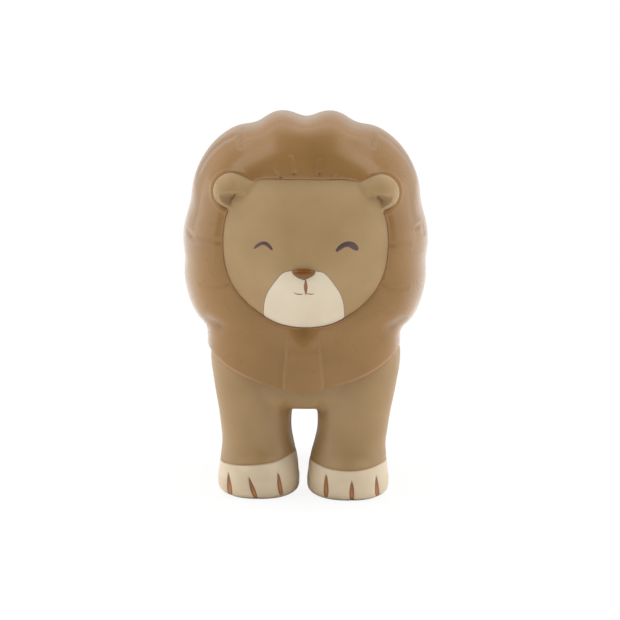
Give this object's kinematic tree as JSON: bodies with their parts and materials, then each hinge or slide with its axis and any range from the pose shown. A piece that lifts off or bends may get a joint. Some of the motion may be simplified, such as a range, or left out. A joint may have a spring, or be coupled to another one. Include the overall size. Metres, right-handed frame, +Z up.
{
  "type": "toy wild animal figure",
  "caption": "Hollow moulded toy lion standing on its paws, with a puffy mane, a smiling face, pale muzzle and paws, and a tufted tail.",
  "frame": {"origin": "on the floor under the middle of the figure's length and width", "axes": "+Z up, the face looks along -Y, +X is the lion's own left"},
  "size_m": [0.076, 0.0988, 0.1176],
  "materials": {
    "body_tan": "satin",
    "paw_cream": "satin",
    "mane_brown": "gloss",
    "head_tan": "matte",
    "muzzle_cream": "satin",
    "nose_brown": "gloss"
  },
  "bodies": {
    "root": {"body": "body_tan", "paw_front_left": "paw_cream", "paw_front_right": "paw_cream", "paw_hind_left": "paw_cream", "paw_hind_right": "paw_cream", "mane_front": "mane_brown", "mane_rear": "mane_brown", "head": "head_tan", "muzzle": "muzzle_cream", "nose": "nose_brown", "tail": "body_tan", "tail_tuft": "mane_brown", "belly_plug": "body_tan"}
  },
  "joints": []
}
